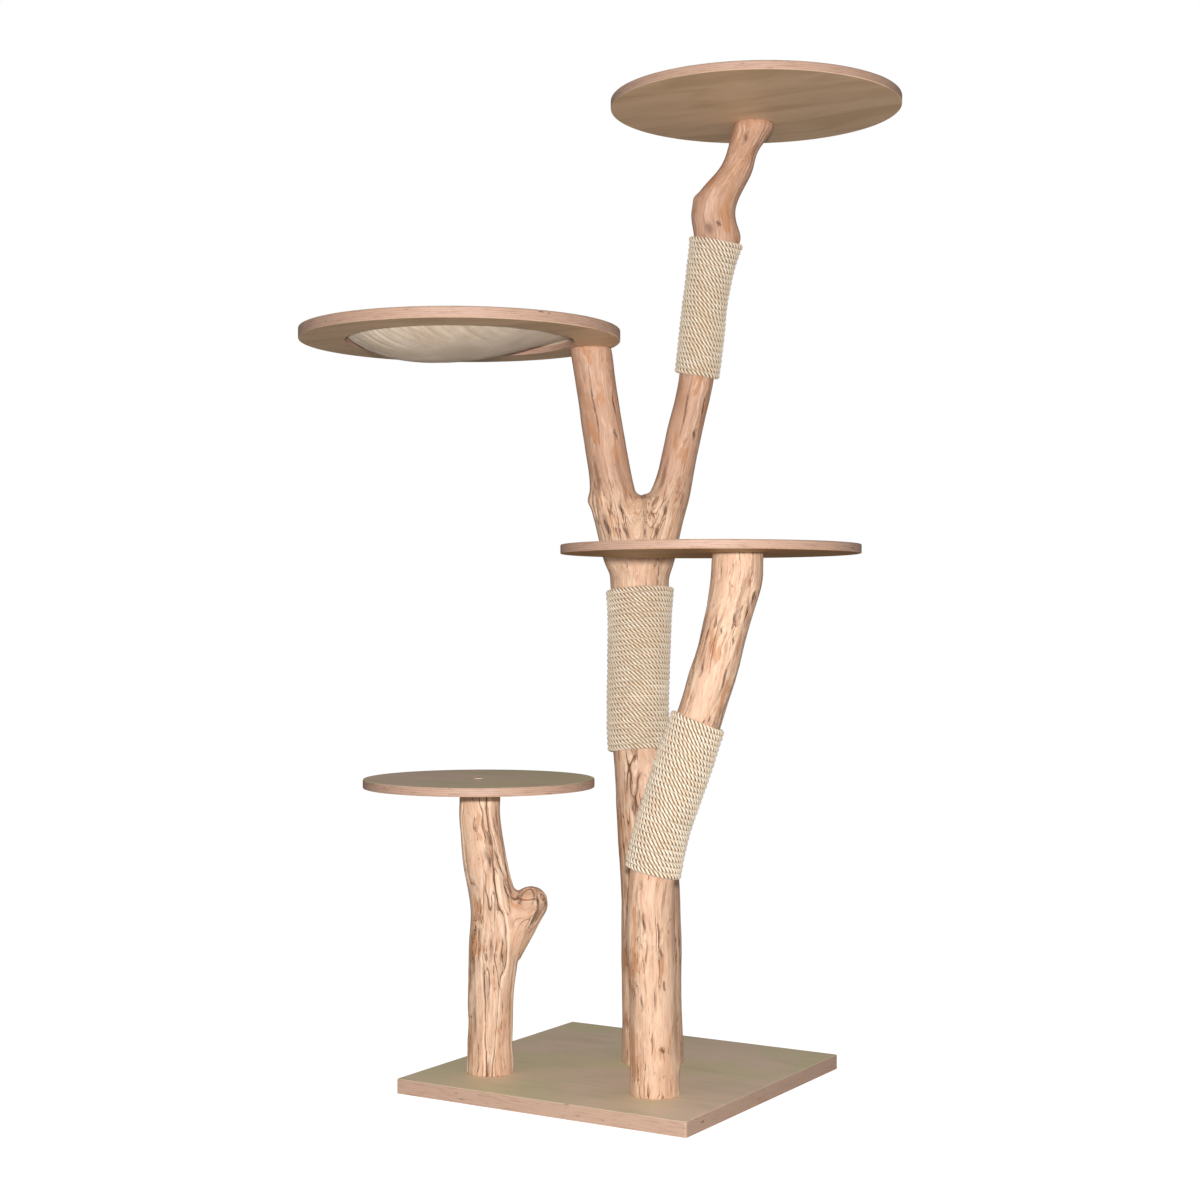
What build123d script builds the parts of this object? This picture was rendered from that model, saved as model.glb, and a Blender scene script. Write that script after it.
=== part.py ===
"""Cat tree: three peeled trunks on a plywood base, three discs and a hammock ring.

Millimetres, +Z up. The origin is the middle of the base board's underside.
X runs along the base's front edge and Y towards its back.
"""
import os
from math import asin, ceil, degrees
from build123d import *

os.makedirs("parts", exist_ok=True)

# Driving dimensions -----------------------------------------------------------

BASE_SIDE = 560
BASE_THICKNESS = 25
BASE_CORNER_RADIUS = 4
EASED_EDGE = 1.5

DISC_THICKNESS = 15
SHORT_DISC_RADIUS = 200
MIDDLE_DISC_RADIUS = 250
TOP_DISC_RADIUS = 250

RING_THICKNESS = 19
RING_RADIUS = 280
RING_HOLE_RADIUS = 200
REBATE_WIDTH = 12
REBATE_DEPTH = 9

# Heights of the undersides that the timber carries
SHORT_DISC_Z = 513
MIDDLE_DISC_Z = 912
TOP_DISC_Z = 1683
RING_Z = 1288

SHORT_DISC_CENTRE = (-200, -151)
MIDDLE_DISC_CENTRE = (205, -60)
TOP_DISC_CENTRE = (220, 78)
RING_CENTRE = (-243, -148)

# Hammock: a wire hoop in a fabric hem, which drops into the ring's rebate
HOOP_RADIUS = 206.2
HOOP_WIRE_RADIUS = 3
HEM_WALL = 1.5
HEM_CLEARANCE = 0.4
HAMMOCK_SAG = 44
FABRIC_THICKNESS = 2

# Sisal rope windings
ROPE_THICKNESS = 9
ROPE_CLEARANCE = 1.2
# A sleeve is lofted this far past each end before its ends are cut square
WRAP_OVERRUN = 40

# Distance between the round sections that a length of timber is lofted through
SECTION_STEP = 40

# Timber: height, x, y and radius where its line or girth changes, from the bottom up.
# The stem and its two branches are one forked trunk.
STEM_SECTIONS = [
    (BASE_THICKNESS, 26, 59, 54),
    (70, 23, 63, 53.5),
    (130, 18, 69, 53),
    (230, 12, 79, 53.5),
    (325, 4, 88, 52.5),
    (480, -12, 99, 53),
    (550, -19, 102, 51.5),
    (600, -28, 101, 48),
    (710, -33, 109, 48),
    (810, -34, 118, 49),
    (870, -37, 122, 53),
    (925, -38, 123, 53),
    (975, -37, 123, 47),
    (1022, -34, 125, 28),
]
LEFT_BRANCH_SECTIONS = [
    (868, -49, 115, 37),
    (896, -51, 117, 46.5),
    (920, -56, 113, 47),
    (962, -66, 108, 46),
    (1010, -78, 102, 44),
    (1056, -82, 95, 39),
    (1103, -86, 87, 38),
    (1196, -91, 67, 36.5),
    (RING_Z, -95, 46, 37),
]
RIGHT_BRANCH_SECTIONS = [
    (868, -25, 129, 37),
    (896, -27, 131, 46.5),
    (920, -21, 134, 47),
    (962, -12, 140, 44.5),
    (1012, 1, 151, 40),
    (1040, 10, 155.5, 35.5),
    (1070, 17, 159, 33),
    (1113, 26, 162, 32.5),
    (1156, 36, 164, 32),
    (1227, 53, 167, 31.5),
    (1327, 68, 164, 32),
    (1384, 78, 161, 32),
    (1440, 90, 159, 35),
    (1475, 98, 159, 38.5),
    (1500, 101, 156, 39.5),
    (1525, 99, 150, 39),
    (1549, 103, 148, 40.5),
    (1566, 114, 152, 38.5),
    (1592, 133, 158, 32.5),
    (1620, 146, 161, 29.5),
    (1648, 157, 163, 29),
    (TOP_DISC_Z, 170, 166, 31),
]
FRONT_SECTIONS = [
    (BASE_THICKNESS, 148, -147, 41),
    (60, 149, -149, 39),
    (125, 147, -149, 38.5),
    (180, 147, -150, 37.5),
    (285, 143, -153, 40),
    (365, 145, -153, 37.5),
    (430, 154, -148, 38.5),
    (500, 172, -138, 39),
    (585, 196, -125, 41),
    (665, 220, -111, 39.5),
    (730, 238, -102, 40),
    (770, 247, -97, 38.5),
    (808, 255, -92, 39.5),
    (860, 266, -86, 42.5),
    (MIDDLE_DISC_Z, 270, -84, 42),
]
SHORT_SECTIONS = [
    (BASE_THICKNESS, -173, -156, 40),
    (95, -173, -156, 38.5),
    (165, -172.5, -154.5, 39.5),
    (235, -169, -149.5, 43.5),
    (305, -169.5, -147, 42),
    (375, -183, -153.5, 38),
    (445, -192, -157, 35.5),
    (SHORT_DISC_Z, -198, -155, 34.5),
]

# The knob on the short trunk is the stub of a side branch, grown over
KNOB_ROOT = (-158, -140, 232)
KNOB_ROOT_RADIUS = 34
KNOB_CENTRE = (-114, -119, 314)
KNOB_RADIUS = 30.5
KNOB_NECK_RADIUS = 30

# Fasteners
LAG_RADIUS = 5
LAG_LENGTH = 95
LAG_HEAD_ACROSS_FLATS = 17
LAG_HEAD_HEIGHT = 6.5
LAG_COUNTERBORE_RADIUS = 14
LAG_COUNTERBORE_DEPTH = 10
SCREW_TIP_LENGTH = 8
SCREW_POINT_SHARE = 0.3
WASHER_RADIUS = 12
WASHER_THICKNESS = 2.5
SIDE_SCREW_RADIUS = 2.5
SIDE_SCREW_HEAD_RADIUS = 5
SIDE_SCREW_HEAD_HEIGHT = 4
SIDE_SCREW_LENGTH = 70
SIDE_SCREW_OFFSET = 24
SIDE_SCREW_RECESS = 1
DISC_SCREW_RADIUS = 4
DISC_SCREW_HEAD_RADIUS = 7
DISC_SCREW_HEAD_HEIGHT = 4
DISC_SCREW_LENGTH = 75
PLUG_RADIUS = 8
PLUG_COUNTERBORE_DEPTH = 8
PLUG_PROUD = 1
PLUG_EASED_EDGE = 0.6
NAIL_RADIUS = 1
NAIL_HEAD_RADIUS = 2.5
NAIL_HEAD_THICKNESS = 1
NAIL_LENGTH = 26
NAIL_TIP_LENGTH = 3
NAIL_INSET = 14
NAIL_STANDOFF = 0.5
NAIL_SIDE = (-0.5, 0.866, 0)
HOLE_CLEARANCE = 0.2


# Timber -----------------------------------------------------------------------

def section_at(sections, height):
    """The timber's x, y and radius at a height, on a smooth curve through its sections."""
    last = len(sections) - 1
    here = max(i for i in range(last) if sections[i][0] <= height or i == 0)
    (low, *start), (high, *end) = sections[here], sections[here + 1]
    before, after = sections[max(here - 1, 0)], sections[min(here + 2, last)]
    span = high - low
    t = (height - low) / span
    point = []
    for k, (p, q) in enumerate(zip(start, end), 1):
        slope_in = (q - before[k]) / (high - before[0]) * span
        slope_out = (after[k] - p) / (after[0] - low) * span
        bend = (2 * t**3 - 3 * t**2 + 1) * p + (3 * t**2 - 2 * t**3) * q
        point.append(bend + (t**3 - 2 * t**2 + t) * slope_in + (t**3 - t**2) * slope_out)
    return tuple(point)


def timber(sections, bore=None, growth=0, low=None, high=None):
    """Round timber lofted through evenly spaced sections, or a hollow sleeve round it."""
    low = sections[0][0] if low is None else low
    high = sections[-1][0] if high is None else high
    steps = ceil((high - low) / SECTION_STEP)
    with BuildPart() as log:
        for i in range(steps + 1):
            height = low + (high - low) * i / steps
            x, y, radius = section_at(sections, height)
            with BuildSketch(Plane.XY.offset(height)):
                with Locations((x, y)):
                    Circle(radius + growth)
                    if bore is not None:
                        Circle(radius + bore, mode=Mode.SUBTRACT)
        loft()
    return log.part


def screw(plane, head, shank_radius, length, tip=SCREW_TIP_LENGTH):
    """A screw that drives along the plane's normal; head is its sketch and height."""
    head_face, head_height = head
    with BuildPart() as fastener:
        with BuildSketch(plane):
            add(head_face)
        extrude(amount=head_height)
        with BuildSketch(plane.offset(head_height)):
            Circle(shank_radius)
        extrude(amount=length - tip)
        with BuildSketch(plane.offset(head_height + length - tip)):
            Circle(shank_radius)
        with BuildSketch(plane.offset(head_height + length)):
            Circle(shank_radius * SCREW_POINT_SHARE)
        loft()
    return fastener.part


def upward(x, y, z):
    """A plane that faces up, for a screw driven from below."""
    return Plane(origin=(x, y, z), x_dir=(1, 0, 0), z_dir=(0, 0, 1))


def downward(x, y, z):
    """A plane that faces down, for a screw driven from above."""
    return Plane(origin=(x, y, z), x_dir=(1, 0, 0), z_dir=(0, 0, -1))


stem_log = timber(STEM_SECTIONS)
left_branch_log = timber(LEFT_BRANCH_SECTIONS)
right_branch_log = timber(RIGHT_BRANCH_SECTIONS)
front_log = timber(FRONT_SECTIONS)
short_log = timber(SHORT_SECTIONS)

# The timber's feet, and the tops that carry a disc or the ring
FEET = [sections[0][1:3] for sections in (SHORT_SECTIONS, FRONT_SECTIONS, STEM_SECTIONS)]
short_top = SHORT_SECTIONS[-1][1:3]
front_top = FRONT_SECTIONS[-1][1:3]
left_top = LEFT_BRANCH_SECTIONS[-1][1:3]
right_top = RIGHT_BRANCH_SECTIONS[-1][1:3]

# Fasteners --------------------------------------------------------------------

with BuildSketch() as lag_head:
    RegularPolygon(LAG_HEAD_ACROSS_FLATS / 2, 6, major_radius=False)
with BuildSketch() as side_screw_head:
    Circle(SIDE_SCREW_HEAD_RADIUS)
with BuildSketch() as disc_screw_head:
    Circle(DISC_SCREW_HEAD_RADIUS)
with BuildSketch() as nail_head:
    Circle(NAIL_HEAD_RADIUS)

lag_head_z = LAG_COUNTERBORE_DEPTH - WASHER_THICKNESS - LAG_HEAD_HEIGHT
with BuildPart() as base_lag_screws:
    for x, y in FEET:
        add(screw(upward(x, y, lag_head_z), (lag_head.sketch, LAG_HEAD_HEIGHT), LAG_RADIUS, LAG_LENGTH))

with BuildPart() as base_washers:
    with BuildSketch(Plane.XY.offset(LAG_COUNTERBORE_DEPTH - WASHER_THICKNESS)):
        with Locations(*FEET):
            Circle(WASHER_RADIUS)
            Circle(LAG_RADIUS + HOLE_CLEARANCE, mode=Mode.SUBTRACT)
    extrude(amount=WASHER_THICKNESS)

side_screw_places = [(x + side * SIDE_SCREW_OFFSET, y) for x, y in FEET for side in (-1, 1)]
with BuildPart() as base_side_screws:
    for x, y in side_screw_places:
        add(screw(upward(x, y, SIDE_SCREW_RECESS), (side_screw_head.sketch, SIDE_SCREW_HEAD_HEIGHT),
                  SIDE_SCREW_RADIUS, SIDE_SCREW_LENGTH))


def disc_screw(place, top):
    """The screw under a plug, driven down into the timber."""
    head_z = top - PLUG_COUNTERBORE_DEPTH + DISC_SCREW_HEAD_HEIGHT
    return screw(downward(*place, head_z), (disc_screw_head.sketch, DISC_SCREW_HEAD_HEIGHT),
                 DISC_SCREW_RADIUS, DISC_SCREW_LENGTH)


def plug(place, top):
    """A wooden plug over a screw head, a little proud and eased round its rim."""
    with BuildPart() as cap:
        with BuildSketch(Plane.XY.offset(top - PLUG_COUNTERBORE_DEPTH + DISC_SCREW_HEAD_HEIGHT)):
            with Locations(place):
                Circle(PLUG_RADIUS)
        extrude(amount=PLUG_COUNTERBORE_DEPTH - DISC_SCREW_HEAD_HEIGHT + PLUG_PROUD)
        fillet(cap.edges().filter_by(GeomType.CIRCLE).sort_by(Axis.Z)[-1], radius=PLUG_EASED_EDGE)
    return cap.part


short_disc_top = SHORT_DISC_Z + DISC_THICKNESS
middle_disc_top = MIDDLE_DISC_Z + DISC_THICKNESS
top_disc_top = TOP_DISC_Z + DISC_THICKNESS
ring_top = RING_Z + RING_THICKNESS

with BuildPart() as short_disc_screw:
    add(disc_screw(short_top, short_disc_top))
with BuildPart() as middle_disc_screw:
    add(disc_screw(front_top, middle_disc_top))
with BuildPart() as top_disc_screw:
    add(disc_screw(right_top, top_disc_top))
with BuildPart() as ring_screw:
    add(disc_screw(left_top, ring_top))

with BuildPart() as short_disc_plug:
    add(plug(short_top, short_disc_top))
with BuildPart() as middle_disc_plug:
    add(plug(front_top, middle_disc_top))
with BuildPart() as top_disc_plug:
    add(plug(right_top, top_disc_top))
with BuildPart() as ring_plug:
    add(plug(left_top, ring_top))

# Base board and discs ---------------------------------------------------------

with BuildPart() as base_board:
    with BuildSketch():
        RectangleRounded(BASE_SIDE, BASE_SIDE, BASE_CORNER_RADIUS)
    extrude(amount=BASE_THICKNESS)
    fillet(base_board.faces().sort_by(Axis.Z)[-1].edges(), radius=EASED_EDGE)
    with Locations(*[Location((x, y, 0), (180, 0, 0)) for x, y in FEET]):
        CounterBoreHole(LAG_RADIUS + HOLE_CLEARANCE, LAG_COUNTERBORE_RADIUS, LAG_COUNTERBORE_DEPTH)
    with Locations(*[Location((x, y, 0), (180, 0, 0)) for x, y in side_screw_places]):
        CounterBoreHole(SIDE_SCREW_RADIUS + HOLE_CLEARANCE, SIDE_SCREW_HEAD_RADIUS + HOLE_CLEARANCE,
                        SIDE_SCREW_RECESS + SIDE_SCREW_HEAD_HEIGHT)


def disc(centre, radius, underside, screw_place):
    """A round plywood shelf with eased edges and one counterbored screw hole."""
    top = underside + DISC_THICKNESS
    with BuildPart() as shelf:
        with BuildSketch(Plane.XY.offset(underside)):
            with Locations(centre):
                Circle(radius)
        extrude(amount=DISC_THICKNESS)
        fillet(shelf.edges().filter_by(GeomType.CIRCLE), radius=EASED_EDGE)
        with Locations((*screw_place, top)):
            CounterBoreHole(DISC_SCREW_RADIUS + HOLE_CLEARANCE, PLUG_RADIUS, PLUG_COUNTERBORE_DEPTH)
    return shelf.part


with BuildPart() as short_disc:
    add(disc(SHORT_DISC_CENTRE, SHORT_DISC_RADIUS, SHORT_DISC_Z, short_top))
with BuildPart() as middle_disc:
    add(disc(MIDDLE_DISC_CENTRE, MIDDLE_DISC_RADIUS, MIDDLE_DISC_Z, front_top))
with BuildPart() as top_disc:
    add(disc(TOP_DISC_CENTRE, TOP_DISC_RADIUS, TOP_DISC_Z, right_top))

# Hammock ring: a rebate round the top of its hole holds the hammock's hem
with BuildPart() as hammock_ring:
    with BuildSketch(Plane.XY.offset(RING_Z)):
        with Locations(RING_CENTRE):
            Circle(RING_RADIUS)
            Circle(RING_HOLE_RADIUS, mode=Mode.SUBTRACT)
    extrude(amount=RING_THICKNESS)
    outer_edges = hammock_ring.edges().filter_by(GeomType.CIRCLE).sort_by(SortBy.RADIUS)[-2:]
    fillet(outer_edges, radius=EASED_EDGE)
    with BuildSketch(Plane.XY.offset(ring_top)):
        with Locations(RING_CENTRE):
            Circle(RING_HOLE_RADIUS + REBATE_WIDTH)
    extrude(amount=-REBATE_DEPTH, mode=Mode.SUBTRACT)
    with Locations((*left_top, ring_top)):
        CounterBoreHole(DISC_SCREW_RADIUS + HOLE_CLEARANCE, PLUG_RADIUS, PLUG_COUNTERBORE_DEPTH)

# Trunks -----------------------------------------------------------------------

with BuildPart() as forked_trunk:
    add(stem_log)
    add(left_branch_log)
    add(right_branch_log)
    for fixing in (base_lag_screws, base_side_screws, ring_screw, top_disc_screw):
        add(fixing.part, mode=Mode.SUBTRACT)

with BuildPart() as front_trunk:
    add(front_log)
    for fixing in (base_lag_screws, base_side_screws, middle_disc_screw):
        add(fixing.part, mode=Mode.SUBTRACT)

with BuildPart() as short_trunk:
    add(short_log)
    stub = Plane(origin=KNOB_ROOT, z_dir=Vector(*KNOB_CENTRE) - Vector(*KNOB_ROOT))
    stub_length = (Vector(*KNOB_CENTRE) - Vector(*KNOB_ROOT)).length
    with BuildSketch(stub):
        Circle(KNOB_ROOT_RADIUS)
    with BuildSketch(stub.offset(stub_length)):
        Circle(KNOB_NECK_RADIUS)
    loft()
    with Locations(KNOB_CENTRE):
        Sphere(KNOB_RADIUS)
    for fixing in (base_lag_screws, base_side_screws, short_disc_screw):
        add(fixing.part, mode=Mode.SUBTRACT)

# Rope windings ----------------------------------------------------------------

# Each winding: its timber, and the heights of its two ends on the timber's centre line
STEM_WRAP = (STEM_SECTIONS, 565, 860)
FRONT_WRAP = (FRONT_SECTIONS, 383, 635)
BRANCH_WRAP = (RIGHT_BRANCH_SECTIONS, 1235, 1489)


def winding(wrap):
    """The hollow outer shape of a rope winding, cut square to the timber at both ends."""
    sections, low, high = wrap
    low_x, low_y, _ = section_at(sections, low)
    high_x, high_y, _ = section_at(sections, high)
    along = Vector(high_x - low_x, high_y - low_y, high - low)
    rope = timber(sections, ROPE_CLEARANCE, ROPE_THICKNESS, low - WRAP_OVERRUN, high + WRAP_OVERRUN)
    with BuildPart() as sleeve:
        add(rope)
        split(bisect_by=Plane(origin=(low_x, low_y, low), z_dir=along), keep=Keep.TOP)
        split(bisect_by=Plane(origin=(high_x, high_y, high), z_dir=along), keep=Keep.BOTTOM)
    return sleeve.part


def end_nails(wrap):
    """Two nails driven level through the back of a winding, near its ends."""
    sections, low, high = wrap
    away = Vector(*NAIL_SIDE)
    with BuildPart() as nails:
        for height in (low + NAIL_INSET, high - NAIL_INSET):
            x, y, radius = section_at(sections, height)
            head = Vector(x, y, height) + away * (radius + ROPE_THICKNESS + NAIL_STANDOFF)
            add(screw(Plane(origin=head, z_dir=-away), (nail_head.sketch, NAIL_HEAD_THICKNESS),
                      NAIL_RADIUS, NAIL_LENGTH, NAIL_TIP_LENGTH))
    return nails.part


with BuildPart() as rope_nails:
    for wrap in (STEM_WRAP, FRONT_WRAP, BRANCH_WRAP):
        add(end_nails(wrap))

stem_winding, front_winding, branch_winding = (winding(w) for w in (STEM_WRAP, FRONT_WRAP, BRANCH_WRAP))

with BuildPart() as rope_wrap_stem:
    add(stem_winding)
    add(rope_nails.part, mode=Mode.SUBTRACT)
with BuildPart() as rope_wrap_front:
    add(front_winding)
    add(rope_nails.part, mode=Mode.SUBTRACT)
with BuildPart() as rope_wrap_branch:
    add(branch_winding)
    add(rope_nails.part, mode=Mode.SUBTRACT)
for trunk in (forked_trunk, front_trunk):
    with trunk:
        add(rope_nails.part, mode=Mode.SUBTRACT)

# Hammock ----------------------------------------------------------------------

rebate_floor = ring_top - REBATE_DEPTH
hoop_z = rebate_floor + HEM_CLEARANCE + HEM_WALL + HOOP_WIRE_RADIUS
hammock_axis = Axis((*RING_CENTRE, 0), (0, 0, 1))
hammock_plane = Plane(origin=(*RING_CENTRE, 0), x_dir=(1, 0, 0), z_dir=(0, -1, 0))

with BuildPart() as hammock_hoop:
    with BuildSketch(hammock_plane):
        with Locations((HOOP_RADIUS, hoop_z)):
            Circle(HOOP_WIRE_RADIUS)
    revolve(axis=hammock_axis)

# The fabric is a shallow spherical bowl that ends in a tube of hem round the hoop
bowl_edge_radius = HOOP_RADIUS - HOOP_WIRE_RADIUS - HEM_WALL / 2
bowl_radius = (bowl_edge_radius**2 + HAMMOCK_SAG**2) / (2 * HAMMOCK_SAG)
bowl_centre_z = hoop_z - HAMMOCK_SAG + bowl_radius
bowl_angle = degrees(asin(bowl_edge_radius / bowl_radius))
with BuildPart() as hammock_fabric:
    with BuildSketch(hammock_plane):
        with BuildLine():
            outer = CenterArc((0, bowl_centre_z), bowl_radius, -90, bowl_angle)
            inner = CenterArc((0, bowl_centre_z), bowl_radius - FABRIC_THICKNESS, -90, bowl_angle)
            Line(outer @ 0, inner @ 0)
            Line(outer @ 1, inner @ 1)
        make_face()
        with Locations((HOOP_RADIUS, hoop_z)):
            Circle(HOOP_WIRE_RADIUS + HEM_WALL)
            Circle(HOOP_WIRE_RADIUS, mode=Mode.SUBTRACT)
    revolve(axis=hammock_axis)

# Write each piece -------------------------------------------------------------

pieces = {
    "base_board": base_board,
    "short_trunk": short_trunk,
    "forked_trunk": forked_trunk,
    "front_trunk": front_trunk,
    "short_disc": short_disc,
    "middle_disc": middle_disc,
    "top_disc": top_disc,
    "hammock_ring": hammock_ring,
    "hammock_hoop": hammock_hoop,
    "hammock_fabric": hammock_fabric,
    "rope_wrap_stem": rope_wrap_stem,
    "rope_wrap_front": rope_wrap_front,
    "rope_wrap_branch": rope_wrap_branch,
    "rope_nails": rope_nails,
    "base_lag_screws": base_lag_screws,
    "base_washers": base_washers,
    "base_side_screws": base_side_screws,
    "short_disc_screw": short_disc_screw,
    "middle_disc_screw": middle_disc_screw,
    "top_disc_screw": top_disc_screw,
    "ring_screw": ring_screw,
    "short_disc_plug": short_disc_plug,
    "middle_disc_plug": middle_disc_plug,
    "top_disc_plug": top_disc_plug,
    "ring_plug": ring_plug,
}
for name, piece in pieces.items():
    piece.part.label = name
    export_step(piece.part, f"parts/{name}.step")
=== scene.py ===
"""Looks of the cat tree: peeled timber, plywood, sisal rope and a hammock, round the CAD frame.

Metres, +Z up, in the CAD model's frame.
"""
import math

import bmesh
import bpy
import numpy as np
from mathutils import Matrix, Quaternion, Vector, noise
from mathutils.bvhtree import BVHTree


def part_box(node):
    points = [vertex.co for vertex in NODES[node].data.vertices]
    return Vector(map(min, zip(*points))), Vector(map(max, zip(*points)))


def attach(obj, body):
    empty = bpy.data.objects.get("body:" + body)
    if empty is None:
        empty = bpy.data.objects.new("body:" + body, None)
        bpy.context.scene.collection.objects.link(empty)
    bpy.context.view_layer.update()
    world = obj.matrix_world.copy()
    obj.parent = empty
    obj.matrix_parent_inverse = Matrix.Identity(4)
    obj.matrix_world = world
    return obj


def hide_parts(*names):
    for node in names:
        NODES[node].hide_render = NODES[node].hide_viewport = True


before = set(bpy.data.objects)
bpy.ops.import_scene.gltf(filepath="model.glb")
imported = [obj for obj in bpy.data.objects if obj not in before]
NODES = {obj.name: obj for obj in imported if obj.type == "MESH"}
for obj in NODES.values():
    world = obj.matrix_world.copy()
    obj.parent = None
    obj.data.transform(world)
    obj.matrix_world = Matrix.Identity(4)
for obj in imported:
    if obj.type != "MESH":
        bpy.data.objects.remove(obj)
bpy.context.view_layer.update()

MM = 0.001

# Camera -----------------------------------------------------------------------

CAMERA_PLACE = Vector((1.7722, -2.9859, 0.8045))
CAMERA_AZIMUTH = math.radians(31.35)
CAMERA_PITCH = math.radians(0.53)
CAMERA_LENS = 59.7
CAMERA_SENSOR = 36
# The camera's line of sight, level
VIEW_AHEAD = Vector((-math.sin(CAMERA_AZIMUTH), math.cos(CAMERA_AZIMUTH), 0))


def add_camera():
    data = bpy.data.cameras.new("camera")
    data.lens = CAMERA_LENS
    data.sensor_width = CAMERA_SENSOR
    data.clip_end = 200
    camera = bpy.data.objects.new("camera", data)
    bpy.context.scene.collection.objects.link(camera)
    ahead = Vector((-math.sin(CAMERA_AZIMUTH), math.cos(CAMERA_AZIMUTH), math.tan(CAMERA_PITCH)))
    camera.location = CAMERA_PLACE
    camera.rotation_mode = "QUATERNION"
    camera.rotation_quaternion = ahead.to_track_quat("-Z", "Y")
    bpy.context.scene.camera = camera


add_camera()

# Shader helpers ---------------------------------------------------------------


class Paint:
    """A node material, with short calls for the nodes that its pattern is made from."""

    def __init__(self, name, shader):
        self.material = bpy.data.materials.new(name)
        self.material.use_nodes = True
        self.tree = self.material.node_tree
        self.tree.nodes.clear()
        self.shader = self.node("ShaderNodeBsdfPrincipled", shader)
        output = self.tree.nodes.new("ShaderNodeOutputMaterial")
        self.tree.links.new(self.shader.outputs[0], output.inputs["Surface"])

    def node(self, kind, inputs=None, **settings):
        made = self.tree.nodes.new(kind)
        for key, value in settings.items():
            setattr(made, key, value)
        for key, value in (inputs or {}).items():
            self.put(made.inputs[key], value)
        return made

    def put(self, socket, value):
        if isinstance(value, bpy.types.NodeSocket):
            self.tree.links.new(value, socket)
        elif isinstance(value, (tuple, list)) and socket.type == "RGBA":
            socket.default_value = (*value, 1)[:4]
        else:
            socket.default_value = value

    def attribute(self, name):
        return self.node("ShaderNodeAttribute", attribute_name=name)

    def place(self):
        return self.node("ShaderNodeTexCoord").outputs["Object"]

    def stretch(self, vector, scale, offset=(0, 0, 0)):
        inputs = {"Vector": vector, "Scale": scale, "Location": offset}
        return self.node("ShaderNodeMapping", inputs).outputs[0]

    def noise(self, vector, scale, detail=3, roughness=0.55, distortion=0):
        inputs = {"Vector": vector, "Scale": scale, "Detail": detail,
                  "Roughness": roughness, "Distortion": distortion}
        return self.node("ShaderNodeTexNoise", inputs).outputs["Fac"]

    def math(self, operation, a, b=0.0):
        return self.node("ShaderNodeMath", {0: a, 1: b}, operation=operation).outputs[0]

    def times(self, *shares):
        """The product of all the shares."""
        total = shares[0]
        for share in shares[1:]:
            total = self.math("MULTIPLY", total, share)
        return total

    def away(self, value, middle):
        """How far a value is from a middle one, either way."""
        return self.math("ABSOLUTE", self.math("SUBTRACT", value, middle))

    def ramp(self, value, low, high, out_low=0.0, out_high=1.0):
        """A smooth step from out_low to out_high, as the value goes from low to high."""
        inputs = {"Value": value, "From Min": low, "From Max": high,
                  "To Min": out_low, "To Max": out_high}
        return self.node("ShaderNodeMapRange", inputs, interpolation_type="SMOOTHSTEP").outputs[0]

    def mix(self, share, a, b):
        made = self.node("ShaderNodeMix", data_type="RGBA")
        self.put(made.inputs[0], share)
        self.put(made.inputs[6], a)
        self.put(made.inputs[7], b)
        return made.outputs[2]

    def over(self, colour, share, red, green, blue):
        """The colour with a share of an sRGB one laid over it."""
        return self.mix(share, colour, linear(red, green, blue))

    def split(self, vector):
        return self.node("ShaderNodeSeparateXYZ", {0: vector}).outputs

    def bump(self, height, distance, strength):
        inputs = {"Height": height, "Distance": distance, "Strength": strength}
        return self.node("ShaderNodeBump", inputs).outputs[0]

    def finish(self, **sockets):
        for key, value in sockets.items():
            self.put(self.shader.inputs[key.replace("_", " ")], value)
        return self.material


def paint_node(name, material):
    """Puts a material on a CAD node, in place of its plain one."""
    NODES[name].data.materials.clear()
    NODES[name].data.materials.append(material)


def linear(red, green, blue):
    """An sRGB colour, 0 to 255, as the linear one that shaders take."""
    return tuple(((c / 255 + 0.055) / 1.055) ** 2.4 for c in (red, green, blue))


# Mesh helpers -----------------------------------------------------------------


def evaluated_mesh(obj):
    """The object's mesh with its modifiers applied."""
    graph = bpy.context.evaluated_depsgraph_get()
    return bpy.data.meshes.new_from_object(obj.evaluated_get(graph))


def link(name, mesh):
    obj = bpy.data.objects.new(name, mesh)
    bpy.context.scene.collection.objects.link(obj)
    return obj


def set_smooth(mesh):
    mesh.polygons.foreach_set("use_smooth", [True] * len(mesh.polygons))


def mesh_of(name, points, faces):
    mesh = bpy.data.meshes.new(name)
    mesh.from_pydata([tuple(p) for p in points], [], faces)
    set_smooth(mesh)
    mesh.update()
    return mesh


def points_of(mesh):
    points = np.zeros(len(mesh.vertices) * 3)
    mesh.vertices.foreach_get("co", points)
    return points.reshape(-1, 3)


def normals_of(mesh):
    normals = np.zeros(len(mesh.vertices) * 3)
    mesh.vertices.foreach_get("normal", normals)
    return normals.reshape(-1, 3)


def edges_of(mesh):
    edges = np.zeros(len(mesh.edges) * 2, int)
    mesh.edges.foreach_get("vertices", edges)
    return edges.reshape(-1, 2)


def store(mesh, name, values, kind="FLOAT"):
    """Keeps a value for each point, for the material to read."""
    attribute = mesh.attributes.new(name, kind, "POINT")
    key = "value" if kind == "FLOAT" else "vector"
    attribute.data.foreach_set(key, np.asarray(values, np.float32).ravel())


def smoothed(points, edges, weight, rounds):
    """The points drawn towards the average of their neighbours, each by its own weight."""
    size = len(points)
    a, b = edges[:, 0], edges[:, 1]
    count = np.bincount(edges.ravel(), minlength=size)[:, None]
    for _ in range(rounds):
        sums = np.array([np.bincount(a, points[b, k], size) + np.bincount(b, points[a, k], size)
                         for k in range(3)]).T
        points = points + weight[:, None] * (sums / count - points)
    return points


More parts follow.
